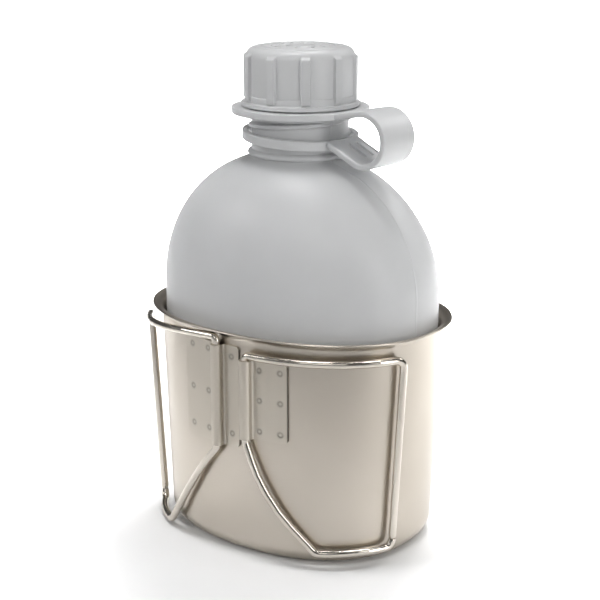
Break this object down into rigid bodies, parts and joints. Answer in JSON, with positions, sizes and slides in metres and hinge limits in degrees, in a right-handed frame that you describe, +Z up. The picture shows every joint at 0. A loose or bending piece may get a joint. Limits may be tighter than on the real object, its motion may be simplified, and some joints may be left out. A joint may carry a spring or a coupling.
{
  "type": "canteen in nesting cup",
  "caption": "Flat-sided plastic canteen with a screw cap on a retaining strap, nested in a kidney-shaped steel cup with folding wire handles.",
  "frame": {"origin": "underside of the cup, on the axis of the canteen's neck", "axes": "+Z up along the neck; -Y towards the convex front with the handles; X along the long axis"},
  "size_m": [0.1404, 0.0997, 0.2161],
  "materials": {
    "cup_steel": "satin",
    "plate_steel": "satin",
    "wire_steel": "polished",
    "canteen_plastic": "moulded, semi-matt",
    "cap_plastic": "moulded, semi-matt",
    "strap_plastic": "moulded, semi-matt",
    "gasket_rubber": "matt"
  },
  "bodies": {
    "cup": {"cup_shell": "cup_steel", "left_hinge_plate": "plate_steel", "right_hinge_plate": "plate_steel"},
    "canteen": {"canteen_body": "canteen_plastic", "strap_band": "strap_plastic"},
    "cap_ring": {"strap_cap_ring": "strap_plastic"},
    "cap": {"cap_shell": "cap_plastic", "cap_gasket": "gasket_rubber"},
    "left_wing": {"left_handle": "wire_steel"},
    "right_wing": {"right_handle": "wire_steel"}
  },
  "joints": [
    {"name": "canteen_lift", "type": "slide", "parent": "cup", "child": "canteen", "axis": [0, 0, 1], "range_m": [0, 0.11]},
    {"name": "cap_lift", "type": "slide", "parent": "canteen", "child": "cap_ring", "axis": [0, 0, 1], "range_m": [0, 0.034]},
    {"name": "cap_turn", "type": "hinge", "parent": "cap_ring", "child": "cap", "pos_m": [0, 0, 0.2], "axis": [0, 0, 1], "range_deg": [0, 1440]},
    {"name": "right_wing_swing", "type": "hinge", "parent": "cup", "child": "right_wing", "pos_m": [0.0079, -0.05152, 0.07], "axis": [0, 0, -1], "range_deg": [0, 105]},
    {"name": "left_wing_swing", "type": "hinge", "parent": "cup", "child": "left_wing", "pos_m": [-0.0072, -0.05156, 0.07], "axis": [0, 0, 1], "range_deg": [-2.85, 102]}
  ],
  "couplings": [
    {"joint": "cap_turn", "follows": "cap_lift", "rad_per_m": 739.2}
  ]
}
